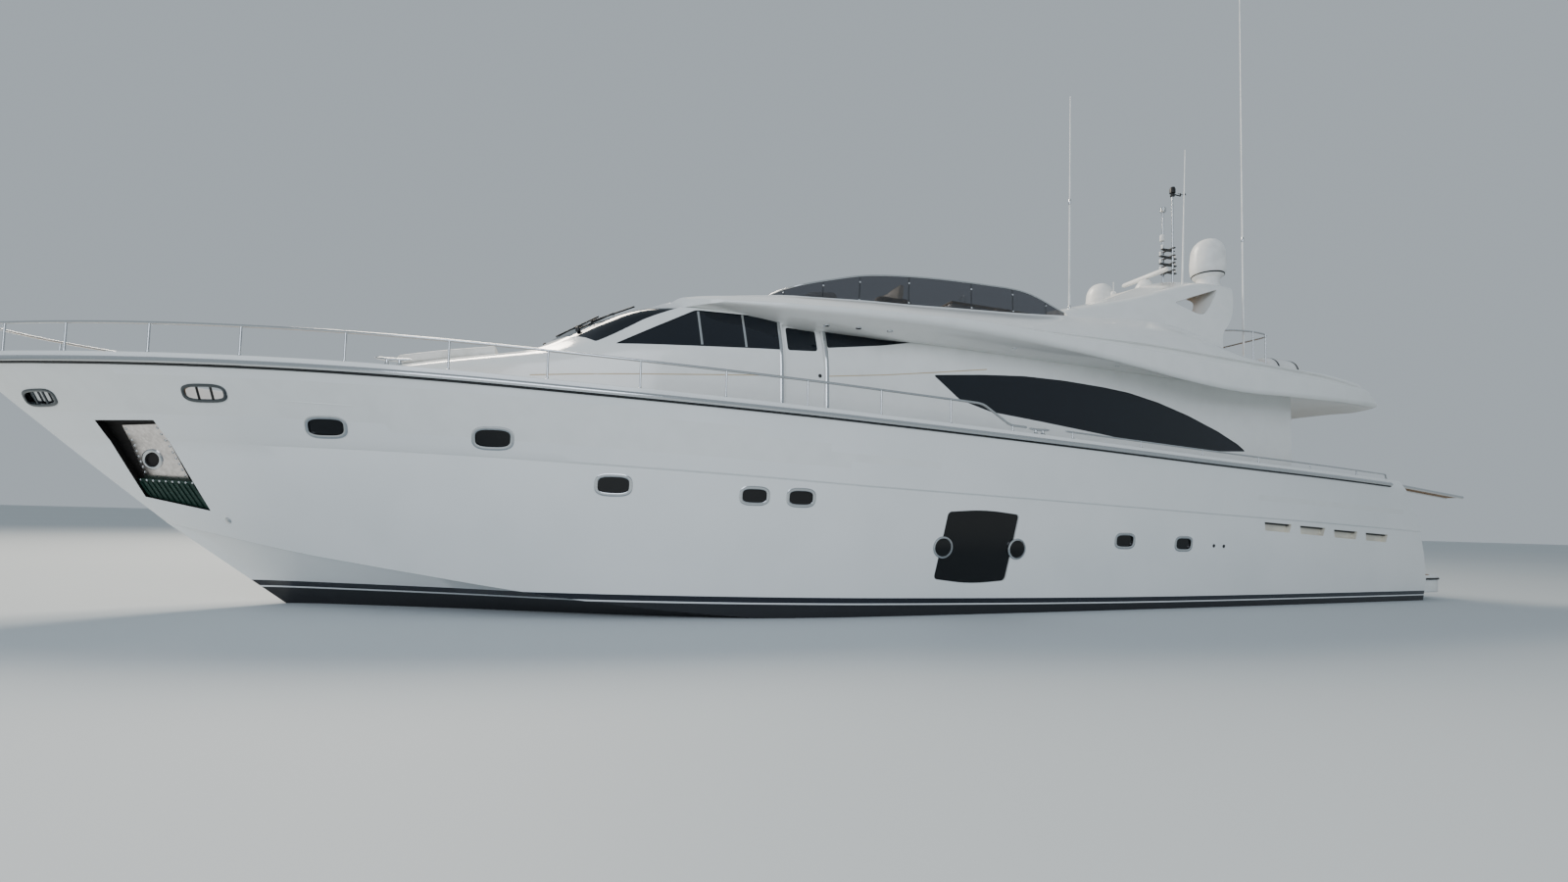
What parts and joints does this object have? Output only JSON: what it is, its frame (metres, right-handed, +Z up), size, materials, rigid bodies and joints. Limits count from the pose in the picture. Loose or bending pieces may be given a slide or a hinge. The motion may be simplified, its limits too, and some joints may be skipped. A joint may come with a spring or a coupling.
{
  "type": "motor yacht",
  "caption": "Planing flybridge motor yacht afloat: hull, deckhouse, flybridge with radar arch, twin shafts and rudders, sliding and hinged doors, rails and deck gear.",
  "frame": {"origin": "on the waterline, on the centreline, amidships", "axes": "+X forward to the bow, +Y to port, +Z up"},
  "size_m": [27.0926, 6.4784, 14.95],
  "materials": {
    "gelcoat": "glossy white gelcoat",
    "teak": "oiled teak planking",
    "steel": "polished stainless steel",
    "bronze": "cast bronze",
    "glass": "dark tinted glass",
    "smoked": "smoked acrylic",
    "vinyl": "cream marine vinyl",
    "plastic": "white moulded plastic",
    "dark": "black plastic",
    "engine": "grey enamel"
  },
  "bodies": {
    "boat": {"hull": "gelcoat", "swim_platform": "teak", "rub_rail": "steel", "anchor_plate_port": "steel", "anchor_plate_starboard": "steel", "coachroof": "gelcoat", "pilothouse": "gelcoat", "deckhouse": "gelcoat", "aft_bulkhead": "gelcoat", "pilothouse_glass_port": "glass", "pilothouse_glass_starboard": "glass", "quarter_glass_port": "glass", "quarter_glass_starboard": "glass", "saloon_glass_port": "glass", "saloon_glass_starboard": "glass", "windscreen": "glass", "flybridge": "gelcoat", "radar_arch": "gelcoat", "dome_port": "plastic", "dome_starboard": "plastic", "instrument_mast": "dark", "whip_forward": "plastic", "whip_aft": "plastic", "whip_inner": "plastic", "fly_windscreen": "smoked", "fly_helm": "gelcoat", "helm_seat": "vinyl", "fly_settee": "vinyl", "fly_table": "teak", "fly_bar": "gelcoat", "raft_case": "plastic", "bow_rail": "steel", "side_rail_port": "steel", "side_rail_starboard": "steel", "fly_rail": "steel", "cockpit_settee": "vinyl", "cockpit_table": "teak", "fly_stair": "steel", "foredeck_sunpad": "vinyl", "windlasses": "steel", "engine_port": "engine", "engine_starboard": "engine"},
    "propeller_port": {"propeller_port": "bronze"},
    "propeller_starboard": {"propeller_starboard": "bronze"},
    "rudder_port": {"rudder_port": "bronze"},
    "rudder_starboard": {"rudder_starboard": "bronze"},
    "trim_tab_port": {"trim_tab_port": "steel"},
    "trim_tab_starboard": {"trim_tab_starboard": "steel"},
    "garage_door": {"garage_door": "gelcoat"},
    "side_door_port": {"side_door_port": "gelcoat"},
    "side_door_starboard": {"side_door_starboard": "gelcoat"},
    "saloon_door_port": {"saloon_door_port": "steel"},
    "saloon_door_starboard": {"saloon_door_starboard": "steel"},
    "stair_lid": {"stair_lid": "smoked"},
    "foredeck_lid": {"foredeck_lid": "smoked"},
    "radar_scanner": {"radar_scanner": "plastic"},
    "wind_vane": {"wind_vane": "dark"},
    "fly_wheel": {"fly_wheel": "dark"},
    "passerelle": {"passerelle": "steel"}
  },
  "joints": [
    {"name": "propeller_port_turn", "type": "hinge", "parent": "boat", "child": "propeller_port", "pos_m": [-9.69, 1.15, -1.12879], "axis": [0.9913, 0, 0.1314], "continuous": true},
    {"name": "propeller_starboard_turn", "type": "hinge", "parent": "boat", "child": "propeller_starboard", "pos_m": [-9.69, -1.15, -1.12879], "axis": [0.9913, 0, 0.1314], "continuous": true},
    {"name": "rudder_port_turn", "type": "hinge", "parent": "boat", "child": "rudder_port", "pos_m": [-10.35, 1.15, -1.2], "axis": [0, 0, 1], "range_deg": [-35, 35]},
    {"name": "rudder_starboard_turn", "type": "hinge", "parent": "boat", "child": "rudder_starboard", "pos_m": [-10.35, -1.15, -1.2], "axis": [0, 0, 1], "range_deg": [-35, 35]},
    {"name": "trim_tab_port_hinge", "type": "hinge", "parent": "boat", "child": "trim_tab_port", "pos_m": [-10.9625, 1.8, -0.308], "axis": [0, -0.9659, -0.2588], "range_deg": [0, 20]},
    {"name": "trim_tab_starboard_hinge", "type": "hinge", "parent": "boat", "child": "trim_tab_starboard", "pos_m": [-10.9625, -1.8, -0.308], "axis": [0, -0.9659, 0.2588], "range_deg": [0, 20]},
    {"name": "garage_door_hinge", "type": "hinge", "parent": "boat", "child": "garage_door", "pos_m": [-10.47, 0, 1.572], "axis": [0, 1, 0], "range_deg": [0, 75]},
    {"name": "side_door_port_slide", "type": "slide", "parent": "boat", "child": "side_door_port", "axis": [-1, 0, 0], "range_m": [0, 0.83]},
    {"name": "side_door_starboard_slide", "type": "slide", "parent": "boat", "child": "side_door_starboard", "axis": [-1, 0, 0], "range_m": [0, 0.83]},
    {"name": "saloon_door_port_slide", "type": "slide", "parent": "boat", "child": "saloon_door_port", "axis": [0, 1, 0], "range_m": [0, 0.88]},
    {"name": "saloon_door_starboard_slide", "type": "slide", "parent": "boat", "child": "saloon_door_starboard", "axis": [0, -1, 0], "range_m": [0, 0.88]},
    {"name": "stair_lid_hinge", "type": "hinge", "parent": "boat", "child": "stair_lid", "pos_m": [-7.75, -2.21, 4.562], "axis": [1, 0, 0], "range_deg": [0, 85]},
    {"name": "foredeck_lid_hinge", "type": "hinge", "parent": "boat", "child": "foredeck_lid", "pos_m": [11.18, 0, 2.8386], "axis": [0, -1, 0], "range_deg": [0, 95]},
    {"name": "radar_turn", "type": "hinge", "parent": "boat", "child": "radar_scanner", "pos_m": [-5.75, 0, 7.36], "axis": [0, 0, 1], "continuous": true},
    {"name": "wind_vane_turn", "type": "hinge", "parent": "boat", "child": "wind_vane", "pos_m": [-6.76, 0.13, 9.5], "axis": [0, 0, 1], "continuous": true},
    {"name": "wheel_turn", "type": "hinge", "parent": "boat", "child": "fly_wheel", "pos_m": [2.7712, 0.85, 5.1894], "axis": [-0.8944, 0, 0.4472], "range_deg": [-540, 540]},
    {"name": "passerelle_hinge", "type": "hinge", "parent": "boat", "child": "passerelle", "pos_m": [-9.5, 2.49, 2.56], "axis": [0, 1, 0], "range_deg": [-10, 60]}
  ],
  "couplings": [
    {"joint": "rudder_starboard_turn", "follows": "rudder_port_turn", "ratio": 1}
  ]
}
